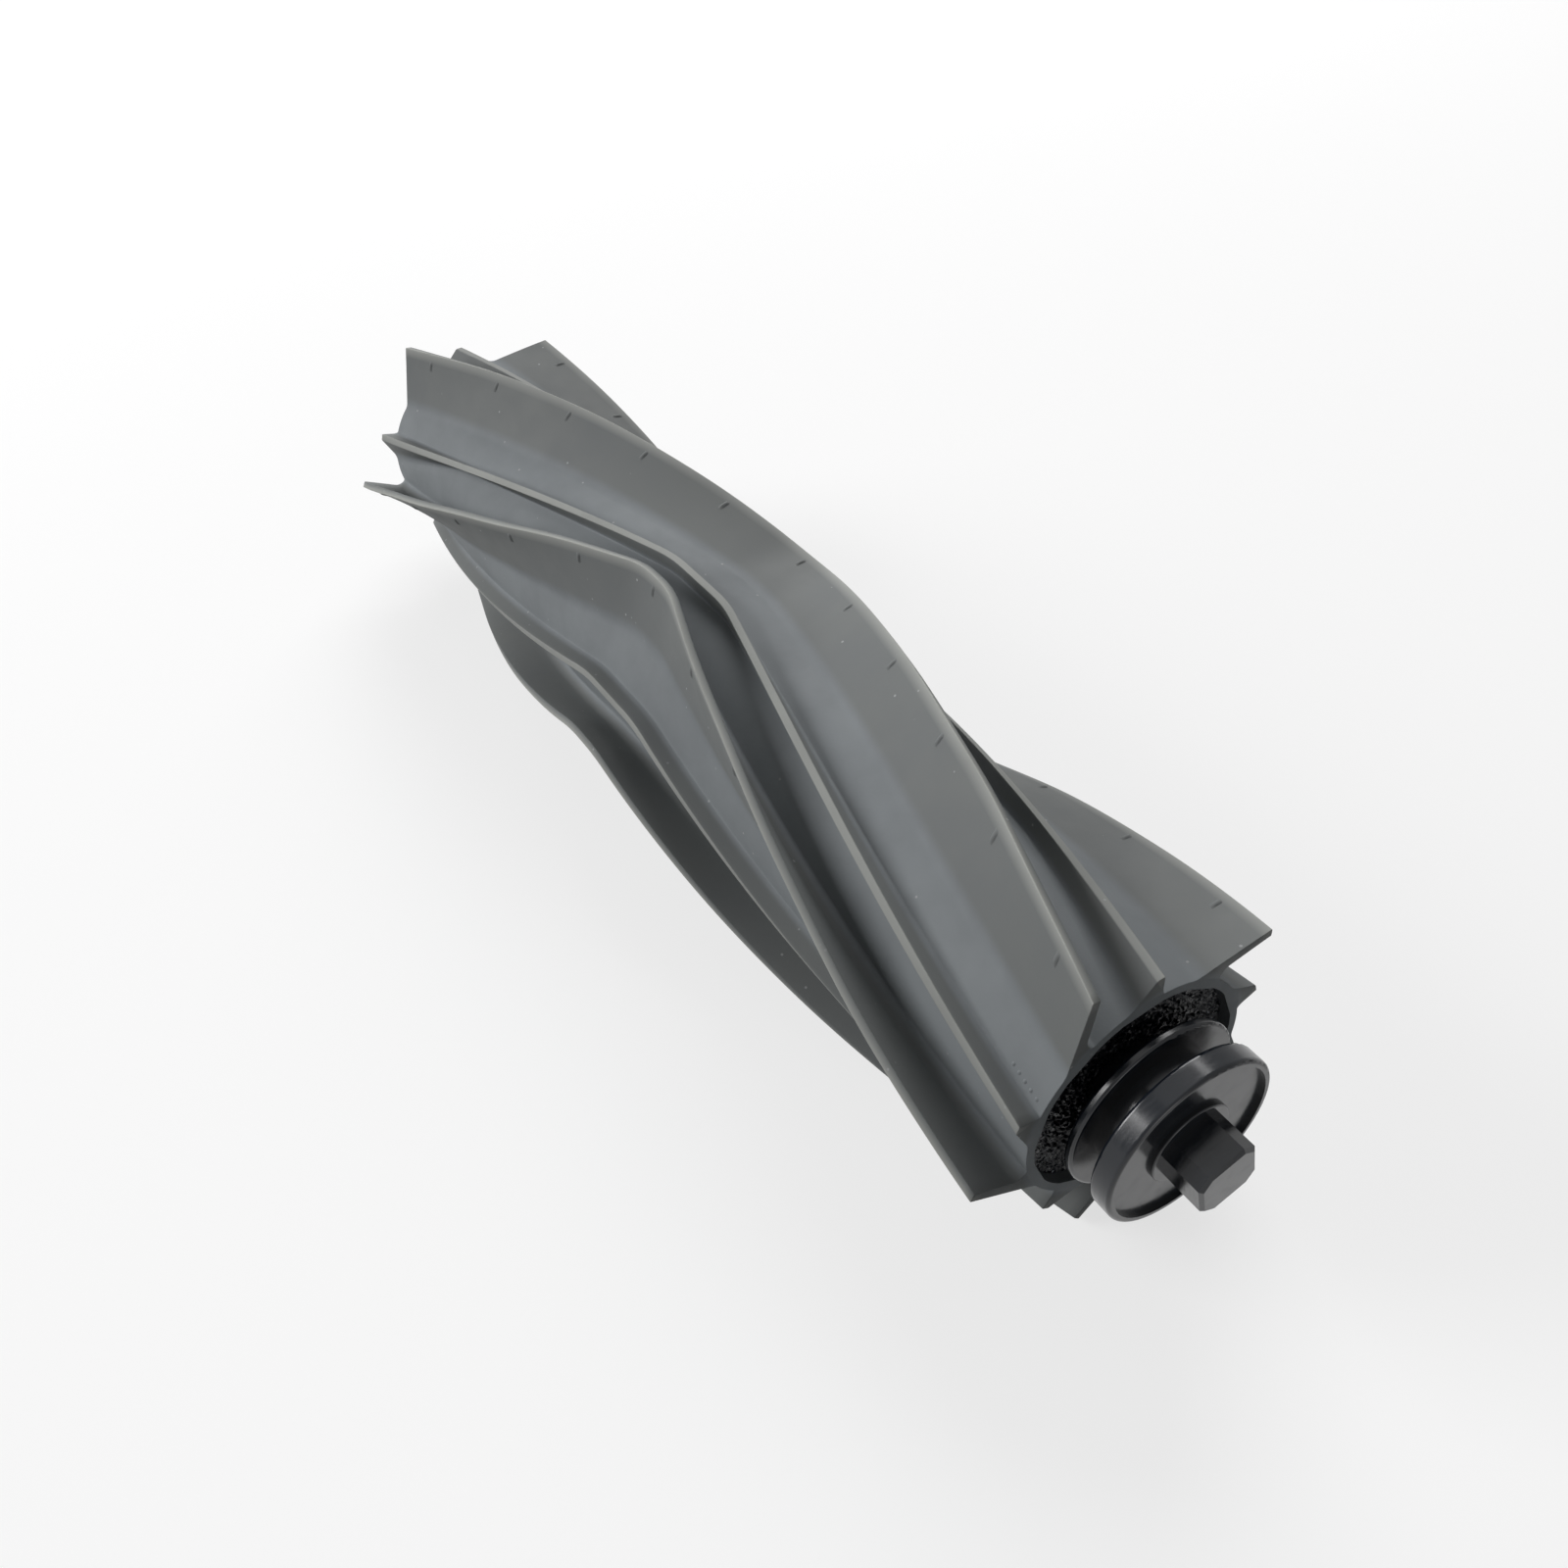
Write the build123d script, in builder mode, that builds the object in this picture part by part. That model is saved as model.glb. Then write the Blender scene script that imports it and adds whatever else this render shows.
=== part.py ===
from build123d import *
import math
import os

os.makedirs("parts", exist_ok=True)

# Roller brush: X runs along the roller axis and out of the drive end, Z is up.
# The origin is on the axis, in the plane of the drive flange's front rim.

# Rubber sleeve: a thin tube with five tall and five short fins in a chevron
sleeve_length = 160.0
sleeve_to_seat = 7.7            # from the sleeve's drive end to the front rim of the drive flange
tube_r = 13.7
tube_wall = 1.0
fin_count = 5
fin_pitch = 360.0 / fin_count
root_depth = 0.5                # how far a fin's root reaches into the tube wall
half_length = sleeve_length / 2
sleeve_mid = -sleeve_to_seat - half_length

# Tall fin: a thin blade that leans over, so that its root trails its tip by an angle
tall_tip_r = 20.5
tall_tip_thick = 1.0
tall_root_rise = 0.5            # the crease on top of the blade's root stands this far off the tube
tall_root_angle = 21.5
tall_foot_angle = 26.5          # where the eased top face runs into the tube
tall_under_rise = 1.2           # where the easing under the blade begins
tall_under_angle = 9.4
tall_heel_angle = 7.0           # where that easing runs into the tube
tall_end_angle = 43.8           # tip of one tall fin at both ends of the sleeve
tall_twist = 74.0               # from the ends of the sleeve to the middle
tall_apex = 1.0                 # half of the straight run in the middle

# Short fin: a slim rib with a flat tip, its leading side slightly undercut
short_rise = 2.6
short_tip_angle = 3.5           # width of the flat tip, as an angle about the axis
short_lean_angle = 0.8          # how far the leading edge of the tip stands over its foot
short_side_rise = 0.5           # where the easing of the trailing side begins
short_side_angle = 4.5
short_heel_angle = 6.5          # where that easing runs into the tube
short_end_angle = 20.6          # leading edge of one short fin at both ends of the sleeve
short_twist = 66.0
short_apex = 4.0
wedge_run = 24.0                # towards each end the rib's leading side spreads into a wedge
wedge_drop = 0.15               # the wedge begins this far below the tip
wedge_tip_angle = 0.5
wedge_foot_angle = 13.0         # where the slope of the wedge reaches into the tube at the end
wedge_depth = 0.15              # and how deep it reaches

bend_run = 5.0                  # each bend is eased over this length, at half the twist

# Foam between the sleeve and the shaft
foam_gap = 0.05
foam_inset = 1.3                # the foam ends this far inside the sleeve

# Shaft with the drive hub in one moulding
shaft_r = 5.0
collar_r = 5.8
flange_r = 10.4
flange_round = 0.45
inner_flange_start = 1.4        # distances outward from the end of the sleeve
inner_flange_thick = 1.1
inner_flange_round = 0.35
neck_r = 7.2
drive_flange_thick = 2.7
cup_r = 9.6
cup_depth = 0.55
boss_r = 4.9
boss_round = 0.2
stub_side = 7.0
stub_corner = 1.35
stub_length = 4.9
stub_end_edge = 0.35
stub_turn = 17.0                # the square is turned about the axis by this angle

# Idler end: a pressed-in hub with a headed pin, on which the bearing cap turns
socket_r = 4.0
socket_depth = 13.0
idler_flange_thick = 1.6
pin_r = 2.5
pin_depth = 12.0
pin_head_r = 3.6
pin_head_thick = 1.0
pin_head_round = 0.4
run_clearance = 0.04            # radial play of the bush on the pin
side_play = 0.4
bush_r = 4.2
bush_length = 5.4
cap_r = 7.0
cap_length = 8.0
cap_rim_r = 9.2
cap_rim_thick = 1.6
cap_edge = 0.5


def polar(r, angle):
    return (r * math.cos(math.radians(angle)), r * math.sin(math.radians(angle)))


def fin_plane(away, angle):
    # A section plane at a distance from the sleeve's middle, whose own x axis points to the fin's tip
    y, z = polar(1, angle)
    return Plane((sleeve_mid + away, 0, 0), x_dir=(0, y, z), z_dir=(1, 0, 0))


def ramp_rate(apex, twist):
    # Degrees of twist for each millimetre of a fin's ramp; the eased bend counts for half its length
    return twist / (half_length - apex - bend_run / 2)


def chevron(section, apex, twist):
    # One fin: a straight apex, then on each side an eased bend and a ramp of even twist
    ramp_run = half_length - apex - bend_run
    rate = ramp_rate(apex, twist)
    bend_twist = rate * bend_run / 2
    flat = Solid.extrude(section, Vector(apex, 0, 0))
    bend = Solid.extrude_linear_with_rotation(
        section.moved(Location((apex, 0, 0))),
        (sleeve_mid + apex, 0, 0),
        (bend_run, 0, 0),
        bend_twist,
    )
    ramp = Solid.extrude_linear_with_rotation(
        section.rotate(Axis.X, bend_twist).moved(Location((apex + bend_run, 0, 0))),
        (sleeve_mid + apex + bend_run, 0, 0),
        (ramp_run, 0, 0),
        rate * ramp_run,
    )
    return [flat, bend, ramp]


# Sections of the two fins at the middle of the sleeve
root_r = tube_r - root_depth
short_tip_r = tube_r + short_rise
tall_tip = Vector(tall_tip_r, 0)
tall_root = Vector(*polar(tube_r + tall_root_rise, tall_root_angle))
tall_across = (tall_tip - tall_root).normalized().rotate(Axis.Z, -90)
with BuildSketch(fin_plane(0, tall_end_angle - tall_twist)) as tall_section:
    with BuildLine():
        Polyline(
            tall_tip,
            tall_root,
            polar(root_r, tall_foot_angle),
            polar(root_r, tall_heel_angle),
            polar(tube_r + tall_under_rise, tall_under_angle),
            tall_tip + tall_across * tall_tip_thick,
            close=True,
        )
    make_face()

with BuildSketch(fin_plane(0, short_end_angle - short_twist)) as short_section:
    with BuildLine():
        Polyline(
            polar(short_tip_r, -short_tip_angle),
            polar(short_tip_r, 0),
            polar(root_r, -short_lean_angle),
            polar(root_r, -short_heel_angle),
            polar(tube_r + short_side_rise, -short_side_angle),
            close=True,
        )
    make_face()

# Wedge on the leading side of a short rib, from nothing inside the rib to its full width at the end
wedge_tip = polar(short_tip_r - wedge_drop, -wedge_tip_angle)
wedge_foot_r = tube_r - wedge_depth
wedge_heel = polar(wedge_foot_r, -short_tip_angle)
wedge_turn = ramp_rate(short_apex, short_twist) * wedge_run
with BuildPart() as end_wedge:
    with BuildSketch(fin_plane(half_length - wedge_run, short_end_angle - wedge_turn)):
        with BuildLine():
            Polyline(wedge_tip, polar(wedge_foot_r, -short_lean_angle), wedge_heel, close=True)
        make_face()
    with BuildSketch(fin_plane(half_length, short_end_angle)):
        with BuildLine():
            Polyline(wedge_tip, polar(wedge_foot_r, wedge_foot_angle), wedge_heel, close=True)
        make_face()
    loft(ruled=True)

sleeve_bore_r = tube_r - tube_wall
middle = Plane.YZ.offset(sleeve_mid)
with BuildPart() as rubber_sleeve:
    with BuildSketch(middle):
        Circle(tube_r)
        Circle(sleeve_bore_r, mode=Mode.SUBTRACT)
    extrude(amount=half_length)
    for step in range(fin_count):
        for piece in chevron(tall_section.sketch.face(), tall_apex, tall_twist):
            add(piece.rotate(Axis.X, step * fin_pitch))
        for piece in chevron(short_section.sketch.face(), short_apex, short_twist):
            add(piece.rotate(Axis.X, step * fin_pitch))
        add(end_wedge.part.rotate(Axis.X, step * fin_pitch))
    mirror(about=middle)
rubber_sleeve.part.label = "rubber_sleeve"
export_step(rubber_sleeve.part, "parts/rubber_sleeve.step")

# Foam filling, a plain thick tube that stays clear of the rubber and of the shaft
drive_end = -sleeve_to_seat
far_end = drive_end - sleeve_length
foam_length = sleeve_length - 2 * foam_inset
with BuildPart() as foam_core:
    with BuildSketch(Plane.YZ.offset(far_end + foam_inset)):
        Circle(sleeve_bore_r - foam_gap)
        Circle(shaft_r + foam_gap, mode=Mode.SUBTRACT)
    extrude(amount=foam_length)
foam_core.part.label = "foam_core"
export_step(foam_core.part, "parts/foam_core.step")

# Shaft: collar, two flanges with a hair groove between them, a cup and the square stub
inner_flange = drive_end + inner_flange_start
groove_start = inner_flange + inner_flange_thick
groove_length = -drive_flange_thick - groove_start
with BuildPart() as core_shaft:
    with BuildSketch(Plane.YZ.offset(far_end + foam_inset)):
        Circle(shaft_r)
    extrude(amount=foam_length)
    with BuildSketch(Plane.YZ.offset(drive_end - foam_inset)):
        Circle(collar_r)
    extrude(amount=foam_inset + inner_flange_start)
    with BuildSketch(Plane.YZ.offset(inner_flange)):
        Circle(flange_r)
    extrude(amount=inner_flange_thick)
    inner_rims = core_shaft.edges().filter_by(GeomType.CIRCLE).group_by(SortBy.RADIUS)[-1]
    fillet(inner_rims, inner_flange_round)
    with BuildSketch(Plane.YZ.offset(groove_start)):
        Circle(neck_r)
    extrude(amount=groove_length)
    with BuildSketch(Plane.YZ.offset(-drive_flange_thick)):
        Circle(flange_r)
    extrude(amount=drive_flange_thick)
    outer_rims = core_shaft.edges().filter_by(GeomType.CIRCLE).group_by(SortBy.RADIUS)[-1]
    fillet(outer_rims.filter_by_position(Axis.X, -drive_flange_thick, 0), flange_round)
    with BuildSketch(Plane.YZ):
        Circle(cup_r)
    extrude(amount=-cup_depth, mode=Mode.SUBTRACT)
    with BuildSketch(Plane.YZ.offset(-cup_depth)):
        Circle(boss_r)
    extrude(amount=cup_depth)
    boss_rim = core_shaft.edges().filter_by(GeomType.CIRCLE).group_by(Axis.X)[-1].sort_by(SortBy.RADIUS)[0]
    fillet(boss_rim, boss_round)
    with BuildSketch(Plane.YZ):
        with Locations(Rotation(0, 0, stub_turn)):
            stub_outline = Rectangle(stub_side, stub_side)
        chamfer(stub_outline.vertices(), stub_corner)
    extrude(amount=stub_length)
    chamfer(core_shaft.faces().sort_by(Axis.X)[-1].edges(), stub_end_edge)
    with BuildSketch(Plane.YZ.offset(far_end + foam_inset)):
        Circle(socket_r)
    extrude(amount=socket_depth, mode=Mode.SUBTRACT)
core_shaft.part.label = "core_shaft"
export_step(core_shaft.part, "parts/core_shaft.step")

# Idler hub: a spigot pressed into the shaft, a collar and a flange
idler_face = far_end - inner_flange_start - idler_flange_thick
with BuildPart() as idler_hub:
    with BuildSketch(Plane.YZ.offset(idler_face)):
        Circle(flange_r)
    extrude(amount=idler_flange_thick)
    fillet(idler_hub.edges().filter_by(GeomType.CIRCLE), flange_round)
    with BuildSketch(Plane.YZ.offset(far_end - inner_flange_start)):
        Circle(collar_r)
    extrude(amount=inner_flange_start + foam_inset)
    with BuildSketch(Plane.YZ.offset(far_end + foam_inset)):
        Circle(socket_r)
    extrude(amount=socket_depth)
    with BuildSketch(Plane.YZ.offset(idler_face)):
        Circle(pin_r)
    extrude(amount=idler_flange_thick + pin_depth, mode=Mode.SUBTRACT)
idler_hub.part.label = "idler_hub"
export_step(idler_hub.part, "parts/idler_hub.step")

# Bearing cap, turning between the idler flange and the head of the pin
cap_face = idler_face - side_play
bush_end = cap_face - bush_length
with BuildPart() as bearing_cap:
    with BuildSketch(Plane.YZ.offset(cap_face)):
        Circle(cap_rim_r)
    extrude(amount=-cap_rim_thick)
    with BuildSketch(Plane.YZ.offset(cap_face - cap_rim_thick)):
        Circle(cap_r)
    extrude(amount=cap_rim_thick - cap_length)
    chamfer(bearing_cap.faces().sort_by(Axis.X)[0].edges(), cap_edge)
    fillet(bearing_cap.edges().filter_by(GeomType.CIRCLE).group_by(SortBy.RADIUS)[-1], cap_edge)
    with BuildSketch(Plane.YZ.offset(cap_face)):
        Circle(bush_r)
    extrude(amount=-cap_length, mode=Mode.SUBTRACT)
bearing_cap.part.label = "bearing_cap"
export_step(bearing_cap.part, "parts/bearing_cap.step")

# Bush pressed into the cap, with running play on the pin
with BuildPart() as bearing_bush:
    with BuildSketch(Plane.YZ.offset(cap_face)):
        Circle(bush_r)
        Circle(pin_r + run_clearance, mode=Mode.SUBTRACT)
    extrude(amount=-bush_length)
bearing_bush.part.label = "bearing_bush"
export_step(bearing_bush.part, "parts/bearing_bush.step")

# Pin pressed into the idler hub, with a domed head that keeps the bush on
pin_head = bush_end - side_play
with BuildPart() as axle_pin:
    with BuildSketch(Plane.YZ.offset(pin_head)):
        Circle(pin_r)
    extrude(amount=idler_face + idler_flange_thick + pin_depth - pin_head)
    with BuildSketch(Plane.YZ.offset(pin_head)):
        Circle(pin_head_r)
    extrude(amount=-pin_head_thick)
    fillet(axle_pin.faces().sort_by(Axis.X)[0].edges(), pin_head_round)
axle_pin.part.label = "axle_pin"
export_step(axle_pin.part, "parts/axle_pin.step")
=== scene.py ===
import math

import bpy
import numpy as np
from mathutils import Matrix, Vector


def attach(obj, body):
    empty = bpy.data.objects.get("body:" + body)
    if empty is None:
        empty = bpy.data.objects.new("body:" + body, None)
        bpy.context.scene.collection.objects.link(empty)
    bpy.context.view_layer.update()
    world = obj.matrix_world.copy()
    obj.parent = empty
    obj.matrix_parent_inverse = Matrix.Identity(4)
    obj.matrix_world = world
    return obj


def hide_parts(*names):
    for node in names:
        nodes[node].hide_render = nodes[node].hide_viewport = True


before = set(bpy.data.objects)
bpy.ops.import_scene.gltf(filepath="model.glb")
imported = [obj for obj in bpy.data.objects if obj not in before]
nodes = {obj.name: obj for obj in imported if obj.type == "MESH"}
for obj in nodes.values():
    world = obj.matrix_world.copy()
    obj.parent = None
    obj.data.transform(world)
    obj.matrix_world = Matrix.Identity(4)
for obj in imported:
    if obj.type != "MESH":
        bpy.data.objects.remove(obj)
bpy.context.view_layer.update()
scene = bpy.context.scene
mm = 0.001                                     # sizes below are in millimetres
fullTurn = 2 * math.pi
print("frame loaded:", ", ".join(sorted(nodes)))


def colour(r, g, b):
    return (r, g, b, 1.0)


def newMesh(name, points, faces):
    # a smooth shaded mesh from an array of points in millimetres and a list of faces
    mesh = bpy.data.meshes.new(name)
    mesh.from_pydata((np.asarray(points, float) * mm).tolist(), [], faces)
    mesh.polygons.foreach_set("use_smooth", np.ones(len(mesh.polygons), bool))
    mesh.update()
    piece = bpy.data.objects.new(name, mesh)
    scene.collection.objects.link(piece)
    return piece


def gridFaces(rows, cols, wrap, first=0):
    # quads of a rows x cols grid of points, closed round the columns if wrap is set
    last = cols if wrap else cols - 1
    i, j = np.meshgrid(np.arange(rows - 1), np.arange(last), indexing="ij")
    k = (j + 1) % cols
    quads = np.stack([i * cols + j, i * cols + k, (i + 1) * cols + k, (i + 1) * cols + j], axis=-1)
    return (quads.reshape(-1, 4) + first).tolist()


def pointValue(piece, name, values):
    # a number for every point, which a material reads by its name
    attribute = piece.data.attributes.new(name, "FLOAT", "POINT")
    attribute.data.foreach_set("value", np.ascontiguousarray(values, dtype=np.float32).ravel())


class Finish:
    # a material and short calls to add and link its nodes
    def __init__(self, name):
        self.material = bpy.data.materials.new(name)
        self.material.use_nodes = True
        self.tree = self.material.node_tree
        self.shader = self.tree.nodes["Principled BSDF"]
        self.coords = self.add("ShaderNodeTexCoord").outputs["Object"]

    def add(self, kind, **settings):
        node = self.tree.nodes.new(kind)
        for key, value in settings.items():
            setattr(node, key, value)
        return node

    def link(self, a, b):
        self.tree.links.new(a, b)

    def put(self, **sockets):
        for key, value in sockets.items():
            self.shader.inputs[key.replace("_", " ")].default_value = value

    def noise(self, scale, detail, rough, stretch=None):
        # cloudy noise on the object's own coordinates, packed closer along each axis by stretch
        node = self.add("ShaderNodeTexNoise")
        node.inputs["Scale"].default_value = scale
        node.inputs["Detail"].default_value = detail
        node.inputs["Roughness"].default_value = rough
        source = self.coords
        if stretch:
            place = self.add("ShaderNodeMapping")
            place.inputs["Scale"].default_value = stretch
            self.link(self.coords, place.inputs["Vector"])
            source = place.outputs["Vector"]
        self.link(source, node.inputs["Vector"])
        return node.outputs["Fac"]

    def cells(self, scale):
        node = self.add("ShaderNodeTexVoronoi")
        node.inputs["Scale"].default_value = scale
        self.link(self.coords, node.inputs["Vector"])
        return node

    def value(self, name):
        return self.add("ShaderNodeAttribute", attribute_name=name).outputs["Fac"]

    def ramp(self, source, low, high, toLow=0.0, toHigh=1.0):
        # low..high becomes toLow..toHigh, eased and held at both ends
        node = self.add("ShaderNodeMapRange", interpolation_type="SMOOTHSTEP")
        limits = (("From Min", low), ("From Max", high), ("To Min", toLow), ("To Max", toHigh))
        for key, number in limits:
            node.inputs[key].default_value = number
        self.link(source, node.inputs["Value"])
        return node.outputs["Result"]

    def product(self, a, b):
        node = self.add("ShaderNodeMath", operation="MULTIPLY")
        self.link(a, node.inputs[0])
        self.link(b, node.inputs[1])
        return node.outputs[0]

    def mix(self, share, a, b):
        # sockets 6 and 7 of this node are its two colours, and socket 2 is the mixed one
        node = self.add("ShaderNodeMix", data_type="RGBA")
        self.link(share, node.inputs["Factor"])
        for source, socket in ((a, node.inputs[6]), (b, node.inputs[7])):
            if isinstance(source, tuple):
                socket.default_value = source
            else:
                self.link(source, socket)
        return node.outputs[2]

    def paint(self, source):
        self.link(source, self.shader.inputs["Base Color"])

    def roughen(self, source):
        self.link(source, self.shader.inputs["Roughness"])

    def bump(self, height, depth, strength):
        node = self.add("ShaderNodeBump")
        node.inputs["Distance"].default_value = depth * mm
        node.inputs["Strength"].default_value = strength
        self.link(height, node.inputs["Height"])
        self.link(node.outputs["Normal"], self.shader.inputs["Normal"])


# camera: where the photograph was taken from, in the object's own frame
shot = {
    "place": (45.0, -75.2, 114.1),
    "right": (0.5436, 0.8393, 0.0),
    "up": (-0.5524, 0.3577, 0.7528),
    "lens": 32.5,
    "sensor": 36.0,
    "nearest": 5.0,
}


def setCamera():
    data = bpy.data.cameras.new("photo_camera")
    camera = bpy.data.objects.new("photo_camera", data)
    scene.collection.objects.link(camera)
    right = Vector(shot["right"]).normalized()
    up = Vector(shot["up"]).normalized()
    back = right.cross(up)
    turn = Matrix((right, up, back)).transposed()
    camera.matrix_world = Matrix.Translation(Vector(shot["place"]) * mm) @ turn.to_4x4()
    data.lens = shot["lens"]
    data.sensor_width = shot["sensor"]
    data.clip_start = shot["nearest"] * mm
    scene.camera = camera


setCamera()
print("camera set")

# rubber sleeve: the same tube and fins as the solid, with every corner eased.
# a fin's corners are (radius, degrees from its tip)
sleeve = {
    "driveEnd": -7.7,
    "length": 160.0,
    "boreR": 12.7,
    "tubeR": 13.7,
    "fins": 5,                                 # of each kind
    "bendRun": 5.0,
    "endEase": 0.05,
    "stations": 160,
    "arcPoints": 7,
    "runPoints": 4,
    "cornerPoints": 6,
    "runOn": 4.0,                              # degrees of tube that the first and last corner ease into
    "sharp": 40.0,                             # edges bent more than this stay crisp
}
tallFin = {
    "endAngle": 43.8,
    "twist": 74.0,
    "apex": 1.0,
    "tipR": 20.5,
    "thick": 1.0,
    "heel": (13.7, 7.8),
    "under": (14.9, 9.4),
    "foot": (13.7, 24.0),
    "rootRun": 2.4,                            # from the foot, along the straight top face
    "ease": (0.35, 0.85, 0.16, 0.16, 0.4, 0.6),  # how far from each corner its easing begins
    "wave": 0.32,                              # degrees by which a soft tip strays to either side
    "waveRuns": (52.0, 23.0),                  # lengths of its long and its brief wave
    "waveShifts": (2.1, 1.3),                  # radians by which each wave moves on at the next fin
    "waveBrief": 0.6,                          # size of the brief wave beside the long one
    "highlightFrom": 0.93,                          # share of the fin's height where the painted highlight on the tip begins
}
shortFin = {
    "endAngle": 20.6,
    "twist": 66.0,
    "apex": 4.0,
    "tipR": 16.3,
    "slim": ((13.7, -5.5), (14.2, -4.5), (16.3, -3.5), (16.3, 0.0), (13.7, -0.7)),
    "slimEase": (0.2, 0.3, 0.12, 0.12, 0.25),
    "wedge": ((13.7, -5.5), (14.2, -4.5), (16.3, -3.5), (16.25, 0.0), (13.7, 12.0)),
    "wedgeEase": (0.2, 0.3, 0.12, 0.16, 0.9),
    "wedgeRun": 24.0,                          # the wedge grows over this length at both ends
    "highlightRun": 0.02,                           # height of its painted tip highlight, as a share of a tall fin's
    "highlightShare": 0.7,                               # its tip gets less painted highlight than a tall fin's
}
farEnd = sleeve["driveEnd"] - sleeve["length"]
middle = farEnd + sleeve["length"] / 2
pitch = 360 / sleeve["fins"]                   # degrees from one tall fin to the next


def polar(r, degrees):
    a = np.radians(degrees)
    return np.array([r * np.cos(a), r * np.sin(a)])


def radiusAngle(point):
    return math.hypot(point[0], point[1]), math.degrees(math.atan2(point[1], point[0]))


def easedLine(corners, ease, ends):
    # each corner becomes a curve from A to C that bends towards the corner P:
    # (1-s)^2 A + 2s(1-s) P + s^2 C, where A and C lie on the two sides, ease away from P.
    # straight runs between the curves get points of their own
    whole = np.vstack([ends[0], corners, ends[1]])
    back = whole[:-2] - corners
    ahead = whole[2:] - corners
    back /= np.linalg.norm(back, axis=1, keepdims=True)
    ahead /= np.linalg.norm(ahead, axis=1, keepdims=True)
    ease = np.asarray(ease)[:, None]
    a, c = corners + back * ease, corners + ahead * ease
    s = np.linspace(0, 1, sleeve["cornerPoints"])[None, :, None]
    curves = (1 - s) ** 2 * a[:, None] + 2 * s * (1 - s) * corners[:, None] + s ** 2 * c[:, None]
    t = (np.arange(sleeve["runPoints"]) + 1)[None, :, None] / (sleeve["runPoints"] + 1)
    runs = c[:-1, None] * (1 - t) + a[1:, None] * t
    both = np.concatenate([curves[:-1], runs], axis=1).reshape(-1, 2)
    return np.vstack([both, curves[-1]])


def finLine(places, ease):
    # an eased section line through (radius, angle) corners, which leaves along the tube at both ends
    corners = np.array([polar(*place) for place in places])
    firstR, firstAngle = places[0]
    lastR, lastAngle = places[-1]
    ends = (polar(firstR, firstAngle - sleeve["runOn"]), polar(lastR, lastAngle + sleeve["runOn"]))
    return easedLine(corners, ease, ends)


def tallTip():
    # tip, the way from the foot to it and the way out of the blade's top face, at angle 0
    tip = polar(tallFin["tipR"], 0)
    lean = tip - polar(*tallFin["foot"])
    lean /= np.linalg.norm(lean)
    return tip, lean, np.array([-lean[1], lean[0]])


def tallLine():
    # section of a tall fin from heel to foot, with its tip at angle 0
    tip, lean, out = tallTip()
    low = radiusAngle(tip - out * tallFin["thick"])
    root = radiusAngle(polar(*tallFin["foot"]) + lean * tallFin["rootRun"])
    places = (tallFin["heel"], tallFin["under"], low, radiusAngle(tip), root, tallFin["foot"])
    return finLine(places, tallFin["ease"])


def shortLines(away):
    # the slim rib's section, drawn out into the wedge towards both ends of the sleeve:
    # slim (1 - share) + wedge share, where share grows from 0 to 1 over wedgeRun
    slim = finLine(shortFin["slim"], shortFin["slimEase"])
    wedge = finLine(shortFin["wedge"], shortFin["wedgeEase"])
    start = sleeve["length"] / 2 - shortFin["wedgeRun"]
    share = np.clip((away - start) / shortFin["wedgeRun"], 0, 1)[:, None, None]
    return slim[None] * (1 - share) + wedge[None] * share


def finAngle(fin, away):
    # tip angle at a distance from the middle: flat at the apex, a bend whose slope grows evenly,
    # then a straight ramp
    bend = sleeve["bendRun"]
    ramp = sleeve["length"] / 2 - fin["apex"] - bend
    rate = fin["twist"] / (ramp + bend / 2)
    past = np.clip(away - fin["apex"], 0, None)
    climb = np.where(past < bend, rate * past ** 2 / (2 * bend), rate * (past - bend / 2))
    return fin["endAngle"] - fin["twist"] + climb


def riseAt(r):
    # 0 on the tube, 1 at a tall fin's tip
    return (r - sleeve["tubeR"]) / (tallFin["tipR"] - sleeve["tubeR"])


def riseOf(line):
    return riseAt(np.hypot(line[..., 0], line[..., 1]))


def tipStray(x, number, rise):
    # soft rubber: the tip strays by two sine waves along the axis, less and less towards the root
    longRun, briefRun = tallFin["waveRuns"]
    longShift, briefShift = tallFin["waveShifts"]
    longWave = np.sin(x / longRun * fullTurn + longShift * number)
    briefWave = np.sin(x / briefRun * fullTurn + briefShift * number)
    return tallFin["wave"] * (longWave + tallFin["waveBrief"] * briefWave) * rise ** 2


def turned(line, degrees):
    # section points turned about the axis, each by its own angle
    a = np.radians(degrees)
    y, z = line[..., 0], line[..., 1]
    return np.stack([y * np.cos(a) - z * np.sin(a), y * np.sin(a) + z * np.cos(a)], axis=-1)


def tubeArc(fromLine, toLine):
    # points on the tube from the end of one section line to the start of the next, both left out
    start = np.arctan2(fromLine[:, -1, 1], fromLine[:, -1, 0])
    sweep = (np.arctan2(toLine[:, 0, 1], toLine[:, 0, 0]) - start) % fullTurn
    t = (np.arange(sleeve["arcPoints"]) + 1)[None] / (sleeve["arcPoints"] + 1)
    a = start[:, None] + sweep[:, None] * t
    return sleeve["tubeR"] * np.stack([np.cos(a), np.sin(a)], axis=-1)


def stationPlaces():
    # both ends, and even steps between two places just inside them
    near = sleeve["driveEnd"]
    inner = np.linspace(farEnd + sleeve["endEase"], near - sleeve["endEase"], sleeve["stations"])
    return np.concatenate([[farEnd], inner, [near]])


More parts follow.
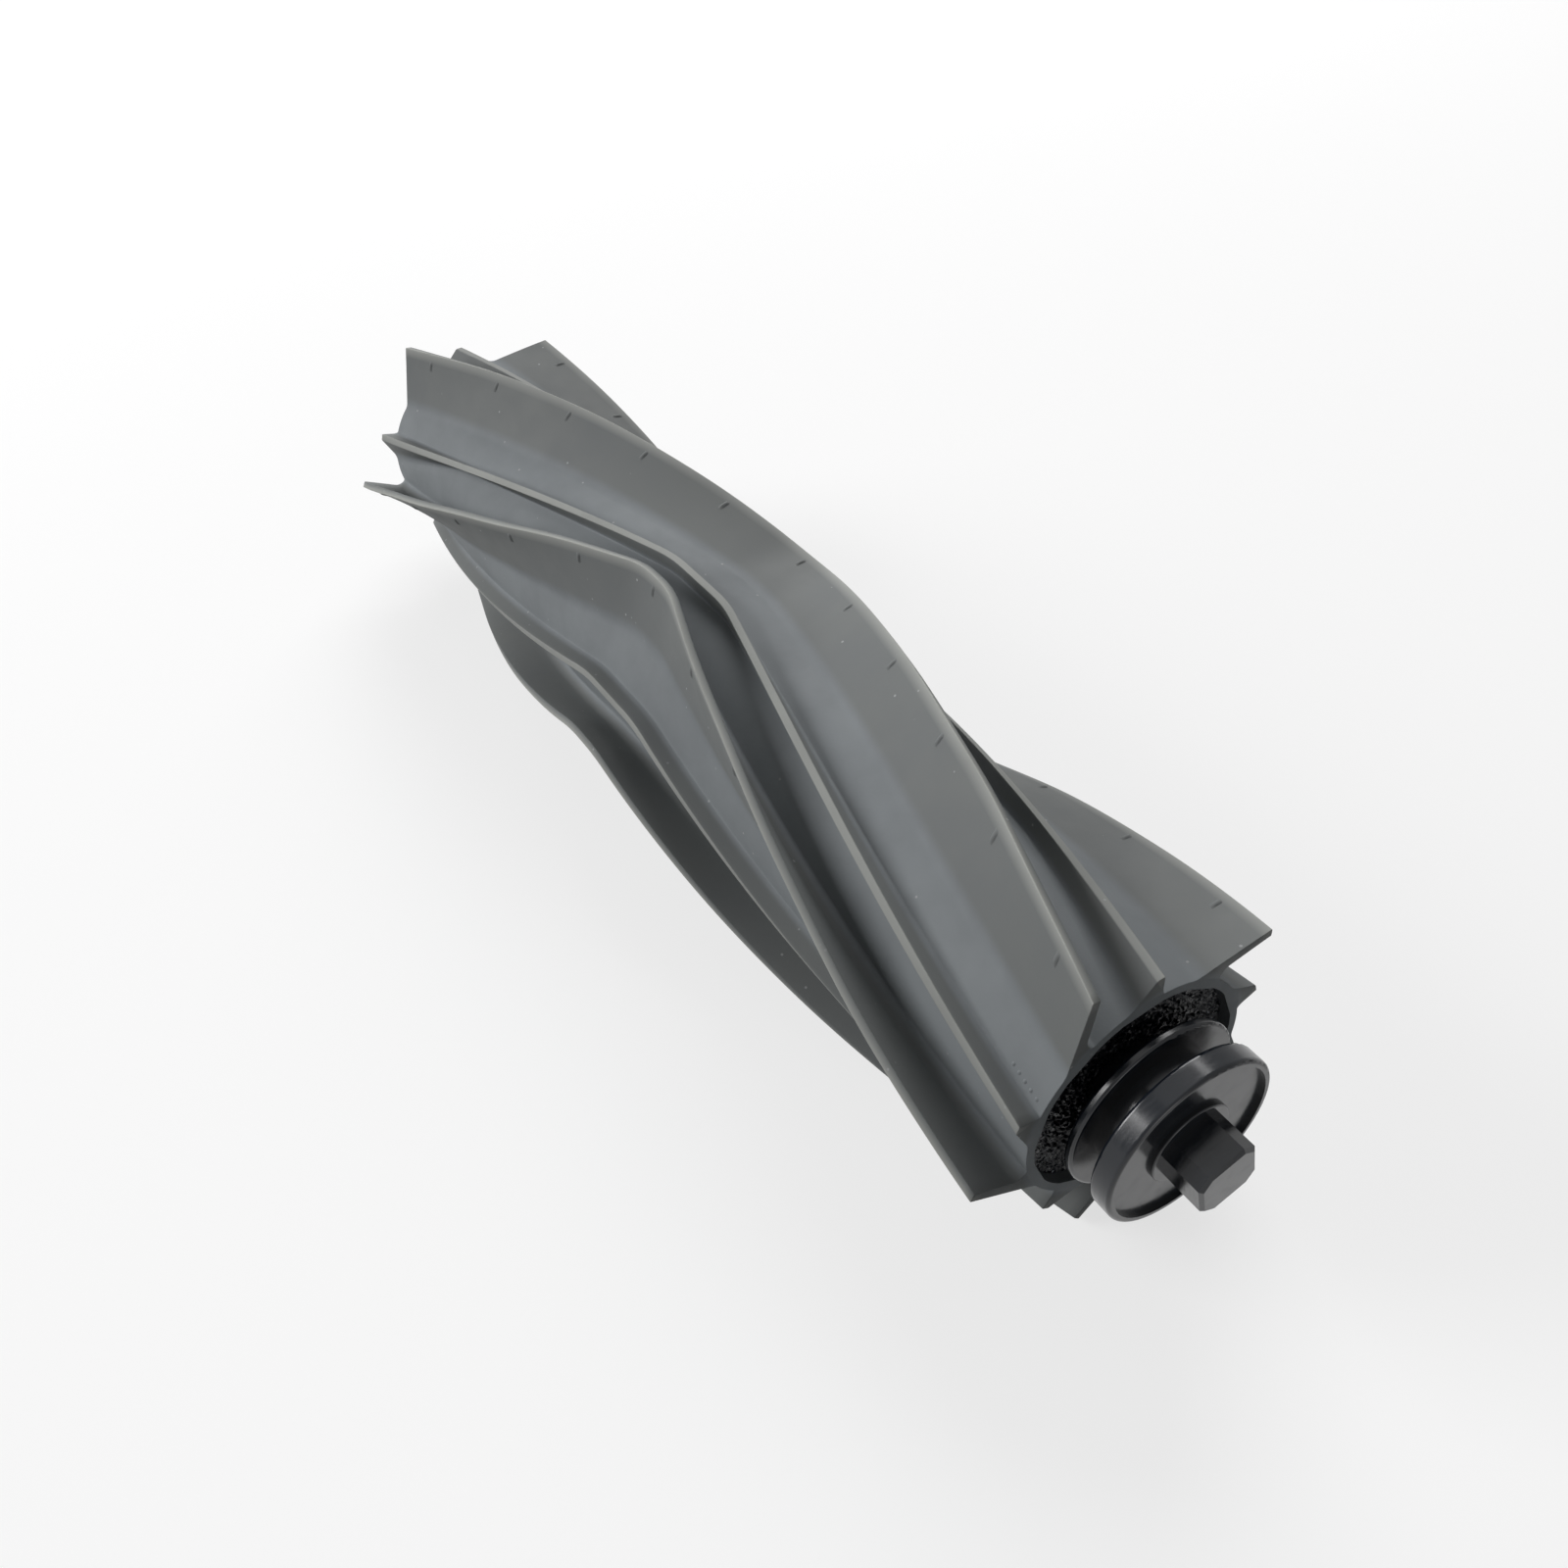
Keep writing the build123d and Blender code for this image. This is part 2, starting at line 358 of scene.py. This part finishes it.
def finSections(x):
    # section lines of the tall and the short fins at every station: (stations, points, 2) for each fin
    away = np.abs(x - middle)
    tall, short = tallLine()[None], shortLines(away)
    tallAt, shortAt = finAngle(tallFin, away), finAngle(shortFin, away)
    # the short fin that follows this tall one
    shortAt = shortAt + pitch * np.round((tallAt + pitch / 2 - shortAt) / pitch)
    rise = riseOf(tall)
    talls, shorts = [], []
    for k in range(sleeve["fins"]):
        stray = tipStray(x[:, None], k, rise)
        talls.append(turned(tall, tallAt[:, None] + pitch * k + stray))
        shorts.append(turned(short, shortAt[:, None] + pitch * k))
    return talls, shorts


def sectionLoop(talls, shorts):
    # the closed loop at every station: tall fin, arc, short fin, arc, five times round
    lines = []
    for k, (tall, short) in enumerate(zip(talls, shorts)):
        after = talls[(k + 1) % len(talls)]
        lines += [tall, tubeArc(tall, short), short, tubeArc(short, after)]
    return np.concatenate(lines, axis=1)


def easeEnds(loop):
    # the loops at both ends are drawn in by endEase, square to their own line
    along = np.roll(loop, -1, axis=1) - np.roll(loop, 1, axis=1)
    outward = np.stack([along[..., 1], -along[..., 0]], axis=-1)
    outward /= np.linalg.norm(outward, axis=-1, keepdims=True)
    loop[[0, -1]] -= outward[[0, -1]] * sleeve["endEase"]


def finEnd(first, count):
    # end face of one fin: strips between point i of its section line
    # and the i-th point from the line's other end
    i = np.arange((count - 1) // 2)
    strips = first + np.stack([i, i + 1, count - 2 - i, count - 1 - i], -1)
    return [list(dict.fromkeys(strip)) for strip in strips.tolist()]


def tipHighlight(high, isShort):
    # painted highlight along the fin tips: 0 to 1 over the last of a tall fin's height, and less on the
    # flat tips of the short ones
    onTall = (high - tallFin["highlightFrom"]) / (1 - tallFin["highlightFrom"])
    onShort = (high - riseAt(shortFin["tipR"])) / shortFin["highlightRun"] + 1
    tipLight = np.clip(np.where(isShort, onShort, onTall), 0, 1)
    return tipLight * np.where(isShort, shortFin["highlightShare"], 1.0)


def makeSleeve():
    x = stationPlaces()
    talls, shorts = finSections(x)
    loop = sectionLoop(talls, shorts)
    high = riseOf(loop)
    easeEnds(loop)
    rows, cols = loop.shape[:2]
    outer = np.dstack([np.broadcast_to(x[:, None], (rows, cols)), loop])
    tallCount, shortCount = talls[0].shape[1], shorts[0].shape[1]
    part = cols // sleeve["fins"]              # points of one tall fin, one short fin and their arcs
    shortFirst = tallCount + sleeve["arcPoints"]
    shortEnd = shortFirst + shortCount
    # ring of the end faces: the fins' feet and the arcs between them, with a bore point below each
    feet = np.concatenate([[0], np.arange(tallCount - 1, shortFirst + 1), np.arange(shortEnd - 1, part)])
    ring = (np.arange(sleeve["fins"])[:, None] * part + feet).ravel()
    a = np.arctan2(loop[0, ring, 1], loop[0, ring, 0])
    circle = sleeve["boreR"] * np.column_stack([np.cos(a), np.sin(a)])
    boreEnds = (farEnd, sleeve["driveEnd"])
    bore = np.vstack([np.column_stack([np.full(len(ring), end), circle]) for end in boreEnds])
    faces = gridFaces(rows, cols, True)
    boreFirst = rows * cols
    faces += [quad[::-1] for quad in gridFaces(2, len(ring), True, boreFirst)]
    here = np.arange(len(ring))
    after = np.roll(here, -1)
    for end, row in ((0, 0), (1, rows - 1)):
        edge, into = row * cols, boreFirst + end * len(ring)
        flat = np.stack([edge + ring, edge + ring[after], into + after, into + here], -1).tolist()
        for first in range(edge, edge + cols, part):
            flat += finEnd(first, tallCount) + finEnd(first + shortFirst, shortCount)
        faces += flat if end else [face[::-1] for face in flat]
    piece = newMesh("rubber_fins", np.vstack([outer.reshape(-1, 3), bore]), faces)
    piece.data.set_sharp_from_angle(angle=math.radians(sleeve["sharp"]))
    place = np.arange(cols) % part
    # the painted highlight along the fin tips, kept for the material
    tipLight = tipHighlight(high, (place >= shortFirst) & (place < shortEnd))
    inBore = np.zeros(len(bore))
    pointValue(piece, "rise", np.concatenate([high.ravel(), inBore]))
    pointValue(piece, "tipHighlight", np.concatenate([tipLight.ravel(), inBore]))
    return piece


rubber = makeSleeve()
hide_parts("rubber_sleeve")
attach(rubber, "roller")
print("rubber sleeve:", len(rubber.data.polygons), "faces")

# marks in the rubber: short raised bars along each tall fin, and rows of dots at the drive end
marks = {
    "barSpan": (-0.46, 0.46),                  # from the middle, as shares of the sleeve's length
    "bars": 11,
    "barDown": 2.0,                            # from the tip's edge down the blade
    "barLong": 1.6,
    "barWide": 0.74,
    "barHigh": 0.22,
    "barGrid": (7, 5),
    "dots": 5,
    "dotFirst": -12.87,
    "dotStep": 0.975,
    "dotAngle": 40.2,                          # behind the tall fin's tip
    "dotR": 0.27,
    "dotHigh": 0.13,
    "dotTop": 0.05,                            # radius of the flat top, as a share of the dot's
    "dotGrid": (4, 9),
    "sunk": 0.02,
}


def onEveryFin(at, u, v):
    # fin number, place along the axis and grid values of every point of every mark, as flat arrays
    number = np.arange(sleeve["fins"])[:, None, None, None]
    return [values.ravel() for values in np.broadcast_arrays(number, at[:, None, None], u, v)]


def barPoints():
    # bar: height over (u, v) in -1..1 is barHigh (1 - u^4)(1 - v^2), less a little to sink its edge
    tip, lean, out = tallTip()
    rows, cols = marks["barGrid"]
    u, v = np.meshgrid(np.linspace(-1, 1, rows), np.linspace(-1, 1, cols), indexing="ij")
    at = middle + np.linspace(*marks["barSpan"], marks["bars"]) * sleeve["length"]
    number, at, u, v = onEveryFin(at, u, v)
    x = at + v * marks["barWide"] / 2
    down = marks["barDown"] + u * marks["barLong"] / 2
    up = marks["barHigh"] * (1 - u ** 4) * (1 - v ** 2) - marks["sunk"]
    flat = tip - down[:, None] * lean + up[:, None] * out
    rise = riseOf(flat)
    angle = finAngle(tallFin, np.abs(x - middle)) + pitch * number + tipStray(x, number, rise)
    return np.column_stack([x, turned(flat, angle)]), rise


def dotPoints():
    # dot: a low dome over rings of radius q dotR, whose height is dotHigh (1 - q^2)
    rings, around = marks["dotGrid"]
    radii = np.linspace(1, marks["dotTop"], rings)
    q, w = np.meshgrid(radii, np.linspace(0, fullTurn, around, endpoint=False), indexing="ij")
    at = marks["dotFirst"] + marks["dotStep"] * np.arange(marks["dots"])
    number, at, q, w = onEveryFin(at, q, w)
    r = sleeve["tubeR"] + marks["dotHigh"] * (1 - q ** 2) - marks["sunk"]
    side = np.degrees(marks["dotR"] * q * np.sin(w) / sleeve["tubeR"])
    row = finAngle(tallFin, np.abs(at - middle)) + pitch * number + marks["dotAngle"]
    a = np.radians(row + side)
    return np.column_stack([at + marks["dotR"] * q * np.cos(w), r * np.cos(a), r * np.sin(a)])


def makeMarks():
    bars, rise = barPoints()
    dots = dotPoints()
    around = marks["dotGrid"][1]
    faces, first = [], 0
    for _ in range(sleeve["fins"] * marks["bars"]):
        faces += gridFaces(*marks["barGrid"], False, first)
        first += math.prod(marks["barGrid"])
    for _ in range(sleeve["fins"] * marks["dots"]):
        faces += gridFaces(*marks["dotGrid"], True, first)
        first += math.prod(marks["dotGrid"])
        faces.append(list(range(first - around, first)))  # its flat top
    piece = newMesh("rubber_marks", np.vstack([bars, dots]), faces)
    # the bars take the fins' painted shade by their height
    pointValue(piece, "rise", np.concatenate([rise, np.zeros(len(dots))]))
    return piece


rubberMarks = makeMarks()
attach(rubberMarks, "roller")
print("marks:", len(rubberMarks.data.polygons), "faces")

# in all finishes a noise is (scale, detail, roughness), a ramp is (from, to) or (from, to, low, high),
# and a bump is (depth in millimetres, strength)
rubberLook = {
    # body is the lighter tube and blade the darker fins: the difference is painted shade on the blades
    "body": colour(0.210, 0.226, 0.236),
    "blade": colour(0.168, 0.176, 0.174),
    "bladeShadeRamp": (0.02, 0.16),                 # rise over which the tube's lighter colour becomes the blades' darker one: painted shade on the blades
    "cloud": colour(0.150, 0.160, 0.168),
    "cloudNoise": (60.0, 5.0, 0.6),
    "cloudRamp": (0.35, 0.75, 0.0, 0.4),
    # tip: pale colour of the painted highlight along the fin tips
    "tip": colour(0.380, 0.386, 0.364),
    "tipLightRamp": (0.2, 0.7, 0.6, 1.0),           # the clouds thin the painted highlight
    "dust": colour(0.33, 0.34, 0.34),
    "dustCells": 800.0,
    "dustRamp": (0.09, 0.17, 1.0, 0.0),        # size of a speck in its cell
    "dustFew": (0.80, 0.86),                   # few cells have one
    "specular": 0.14,
    "roughNoise": (240.0, 4.0, 0.6),
    "roughRamp": (0.3, 0.7, 0.60, 0.68),
    "grainNoise": (2600.0, 3.0, 0.6),
    "grainBump": (0.03, 0.35),
}


def rubberFinish():
    # grey rubber: lighter tube, darker blades as painted shade, clouds, a pale painted highlight on the
    # fin tips and specks of dust over a fine grain
    look = rubberLook
    f = Finish("grey_rubber")
    cloud = f.noise(*look["cloudNoise"])
    # painted shade: the fins darken from the tube's colour to the blade's as they rise
    base = f.mix(f.ramp(f.value("rise"), *look["bladeShadeRamp"]), look["body"], look["blade"])
    base = f.mix(f.ramp(cloud, *look["cloudRamp"]), base, look["cloud"])
    # painted highlight on the fin tips, thinned by the clouds
    tipLight = f.product(f.value("tipHighlight"), f.ramp(cloud, *look["tipLightRamp"]))
    base = f.mix(tipLight, base, look["tip"])
    specks = f.cells(look["dustCells"])
    dots = f.ramp(specks.outputs["Distance"], *look["dustRamp"])
    few = f.ramp(specks.outputs["Color"], *look["dustFew"])
    f.paint(f.mix(f.product(dots, few), base, look["dust"]))
    f.put(Specular_IOR_Level=look["specular"])
    f.roughen(f.ramp(f.noise(*look["roughNoise"]), *look["roughRamp"]))
    f.bump(f.noise(*look["grainNoise"]), *look["grainBump"])
    return f.material


rubberSkin = rubberFinish()
rubber.data.materials.append(rubberSkin)
rubberMarks.data.materials.append(rubberSkin)

# foam core: a thick tube whose two ends are torn open cells
foam = {
    "driveEnd": -9.0,
    "length": 157.4,
    "outerR": 12.6,
    "innerR": 5.1,
    "rings": 26,
    "around": 150,
    "bumpy": 0.34,
    "edgeRun": 0.8,                            # the cells grow shallow this near to an edge,
    "edgeLeast": 0.2,                          # down to this share
    "waves": 60,
    "waveRate": (2.0, 9.0),                    # radians for a millimetre
    "seeds": (4, 9),                           # drive end, idler end
}


def waves(x, y, seed):
    # a sum of plane waves in random directions: sum of sin(kx x + ky y + p) / count^0.5
    draw = np.random.default_rng(seed)
    count = foam["waves"]
    k = draw.uniform(*foam["waveRate"], count)
    way = draw.uniform(0, fullTurn, count)
    p = draw.uniform(0, fullTurn, count)
    phase = x[..., None] * k * np.cos(way) + y[..., None] * k * np.sin(way) + p
    return np.sin(phase).sum(axis=-1) / math.sqrt(count)


def makeFoam():
    # rings of points from the bore out over one end, along the outside, in over the other end and back.
    # an end lies deeper by bumpy times the size of the waves, less near its two edges
    r = np.linspace(foam["innerR"], foam["outerR"], foam["rings"])
    a = np.linspace(0, fullTurn, foam["around"], endpoint=False)
    rr, aa = np.meshgrid(r, a, indexing="ij")
    y, z = rr * np.cos(aa), rr * np.sin(aa)
    toEdge = np.minimum(rr - foam["innerR"], foam["outerR"] - rr)
    depth = foam["bumpy"] * np.clip(toEdge / foam["edgeRun"], foam["edgeLeast"], 1)
    near = foam["driveEnd"]
    far = near - foam["length"]
    driveSeed, idlerSeed = foam["seeds"]
    drive = near - depth * np.abs(waves(y, z, driveSeed))
    idler = far + depth * np.abs(waves(y, z, idlerSeed))
    points = np.concatenate([np.dstack([drive, y, z]), np.dstack([idler, y, z])[::-1]])
    rings = len(points)
    faces = np.array(gridFaces(rings + 1, foam["around"], True))
    faces %= rings * foam["around"]            # the last ring joins the first
    return newMesh("foam_filling", points.reshape(-1, 3), faces[:, ::-1].tolist())


foamPiece = makeFoam()
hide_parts("foam_core")
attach(foamPiece, "roller")
print("foam:", len(foamPiece.data.polygons), "faces")

foamLook = {
    "deep": colour(0.004, 0.005, 0.007),
    "raised": colour(0.014, 0.016, 0.020),
    "cloudNoise": (900.0, 4.0, 0.6),
    "cloudRamp": (0.35, 0.7),
    "glint": colour(0.72, 0.76, 0.80),
    "pores": 1800.0,
    "glintRamp": (0.18, 0.30, 1.0, 0.0),       # size of a glint in its pore
    "glintFew": (0.72, 0.78),                  # few pores have one
    "patchNoise": (260.0, 2.0, 0.5),           # and they come in patches
    "patchRamp": (0.45, 0.6),
    "specular": 0.3,
    "roughRamp": (0.4, 0.65, 0.50, 0.20),
    "poreBump": (0.45, 1.0),
}


def foamFinish():
    # black open foam: dark pores, a few of them with a bright glint on their skin
    look = foamLook
    f = Finish("black_foam")
    pores = f.cells(look["pores"])
    cloud = f.noise(*look["cloudNoise"])
    base = f.mix(f.ramp(cloud, *look["cloudRamp"]), look["deep"], look["raised"])
    bright = f.ramp(pores.outputs["Distance"], *look["glintRamp"])
    few = f.ramp(pores.outputs["Color"], *look["glintFew"])
    patch = f.ramp(f.noise(*look["patchNoise"]), *look["patchRamp"])
    f.paint(f.mix(f.product(f.product(bright, few), patch), base, look["glint"]))
    f.put(Specular_IOR_Level=look["specular"])
    f.roughen(f.ramp(cloud, *look["roughRamp"]))
    f.bump(pores.outputs["Distance"], *look["poreBump"])
    return f.material


foamPiece.data.materials.append(foamFinish())

plasticLook = {
    "cloudNoise": (180.0, 5.0, 0.6),
    "cloudRamp": (0.35, 0.75),
    "hairNoise": (500.0, 3.0, 0.5, (6.0, 1.0, 1.0)),
    "hairRamp": (0.4, 0.75),
    "hairRough": 0.08,                         # how much rougher a scratch is
    "specular": 0.5,
    "skinNoise": (700.0, 3.0, 0.5),
    "skinBump": (0.006, 0.12),
}
metalLook = {
    "stainNoise": (260.0, 5.0, 0.6),
    "stainRamp": (0.35, 0.75),
    "ringNoise": (900.0, 2.0, 0.5, (9.0, 0.6, 0.6)),
    "ringRamp": (0.3, 0.7),
    "ringRough": 0.16,
    "ringBump": (0.02, 0.4),
}
plasticBlack = (colour(0.0055, 0.0080, 0.0125), colour(0.0085, 0.0115, 0.0170))
capBlack = (colour(0.020, 0.021, 0.023), colour(0.030, 0.031, 0.033))
steel = (colour(0.56, 0.57, 0.58), colour(0.42, 0.42, 0.43))
bronze = (colour(0.52, 0.33, 0.15), colour(0.38, 0.23, 0.10))


def plasticFinish(name, colours, rough):
    # moulded plastic with a satin skin: faint clouding and hair scratches
    look = plasticLook
    f = Finish(name)
    f.paint(f.mix(f.ramp(f.noise(*look["cloudNoise"]), *look["cloudRamp"]), *colours))
    hairs = f.noise(*look["hairNoise"])
    f.roughen(f.ramp(hairs, *look["hairRamp"], rough, rough + look["hairRough"]))
    f.put(Specular_IOR_Level=look["specular"])
    f.bump(f.noise(*look["skinNoise"]), *look["skinBump"])
    return f.material


def metalFinish(name, colours, rough):
    # turned metal: fine rings along the axis and a little staining
    look = metalLook
    f = Finish(name)
    f.paint(f.mix(f.ramp(f.noise(*look["stainNoise"]), *look["stainRamp"]), *colours))
    rings = f.noise(*look["ringNoise"])
    f.roughen(f.ramp(rings, *look["ringRamp"], rough, rough + look["ringRough"]))
    f.put(Metallic=1.0)
    f.bump(rings, *look["ringBump"])
    return f.material


nodeLooks = {
    # name of the finish, its two colours and its least roughness
    "core_shaft": plasticFinish("black_plastic", plasticBlack, 0.19),
    "idler_hub": plasticFinish("hub_plastic", plasticBlack, 0.19),
    "bearing_cap": plasticFinish("cap_plastic", capBlack, 0.38),
    "axle_pin": metalFinish("pin_steel", steel, 0.24),
    "bearing_bush": metalFinish("bush_bronze", bronze, 0.34),
}
for name, look in nodeLooks.items():
    nodes[name].data.materials.clear()
    nodes[name].data.materials.append(look)
print("finishes on the solids")

# studio: a pale floor, an even surround, a lamp to either side beyond the far end,
# a faint one overhead and one in front of the drive end
studio = {
    "floor": -20.7,
    "floorSize": 3.0,                          # metres
    "floorPale": colour(0.86, 0.86, 0.86),
    "floorGlow": 0.70,                         # share of its own light in the floor that is seen
    "floorBounce": colour(0.12, 0.12, 0.12),   # what the floor gives back to the object
    "surroundWhite": colour(1.0, 1.0, 1.0),
    "surround": 0.04,
    "surroundShine": 0.55,                     # what gloss mirrors of the room
    "surroundSeen": 1.0,
    "aim": (-0.085, 0.0, 0.0),                 # metres
    "lamps": (
        # place in metres, width, watts
        ((-0.69, 0.47, 0.64), 0.65, 7.8),
        ((-0.62, -0.74, 0.41), 0.50, 8.6),
        ((-0.30, -0.02, 1.00), 0.85, 0.9),
        ((0.98, -0.15, 0.16), 0.60, 1.7),
    ),
}


def seenRay(tree, others):
    # 1 where the eye looks at the backdrop, or one of the other rays named
    path = tree.nodes.new("ShaderNodeLightPath")
    total = path.outputs["Is Camera Ray"]
    for other in others:
        larger = tree.nodes.new("ShaderNodeMath")
        larger.operation = "MAXIMUM"
        tree.links.new(total, larger.inputs[0])
        tree.links.new(path.outputs[other], larger.inputs[1])
        total = larger.outputs[0]
    return total


def makeFloor():
    half = studio["floorSize"] / mm / 2
    z = studio["floor"]
    corners = [(-half, -half, z), (half, -half, z), (half, half, z), (-half, half, z)]
    floor = newMesh("floor", corners, [(0, 1, 2, 3)])
    material = bpy.data.materials.new("pale_floor")
    material.use_nodes = True
    tree = material.node_tree
    tree.nodes.remove(tree.nodes["Principled BSDF"])
    pale = tree.nodes.new("ShaderNodeBsdfDiffuse")
    pale.inputs["Color"].default_value = studio["floorPale"]
    glow = tree.nodes.new("ShaderNodeEmission")
    seen = tree.nodes.new("ShaderNodeMixShader")
    seen.inputs["Fac"].default_value = studio["floorGlow"]
    tree.links.new(pale.outputs[0], seen.inputs[1])
    tree.links.new(glow.outputs[0], seen.inputs[2])
    bounce = tree.nodes.new("ShaderNodeBsdfDiffuse")
    bounce.inputs["Color"].default_value = studio["floorBounce"]
    both = tree.nodes.new("ShaderNodeMixShader")
    tree.links.new(seenRay(tree, ("Is Glossy Ray", "Is Transmission Ray")), both.inputs["Fac"])
    tree.links.new(bounce.outputs[0], both.inputs[1])
    tree.links.new(seen.outputs[0], both.inputs[2])
    tree.links.new(both.outputs[0], tree.nodes["Material Output"].inputs["Surface"])
    floor.data.materials.append(material)


def makeSurround():
    # dim to matt surfaces, brighter to glossy ones and white to the eye
    world = bpy.data.worlds.new("pale_surround")
    scene.world = world
    world.use_nodes = True
    tree = world.node_tree
    back = tree.nodes["Background"]
    back.inputs["Color"].default_value = studio["surroundWhite"]
    shine = tree.nodes.new("ShaderNodeMapRange")
    shine.inputs["To Min"].default_value = studio["surround"]
    shine.inputs["To Max"].default_value = studio["surroundShine"]
    path = tree.nodes.new("ShaderNodeLightPath")
    tree.links.new(path.outputs["Is Glossy Ray"], shine.inputs["Value"])
    level = tree.nodes.new("ShaderNodeMapRange")
    level.inputs["To Max"].default_value = studio["surroundSeen"]
    tree.links.new(shine.outputs["Result"], level.inputs["To Min"])
    tree.links.new(seenRay(tree, ("Is Transmission Ray",)), level.inputs["Value"])
    tree.links.new(level.outputs["Result"], back.inputs["Strength"])


def makeLamps():
    for number, (place, width, watts) in enumerate(studio["lamps"]):
        data = bpy.data.lights.new(f"soft_lamp_{number}", "AREA")
        data.size = width
        data.energy = watts
        lamp = bpy.data.objects.new(data.name, data)
        scene.collection.objects.link(lamp)
        lamp.location = place
        aim = Vector(studio["aim"]) - Vector(place)
        lamp.rotation_mode = "QUATERNION"
        lamp.rotation_quaternion = aim.to_track_quat("-Z", "Y")


makeFloor()
makeSurround()
makeLamps()
scene.view_settings.view_transform = "Standard"
print("studio set")
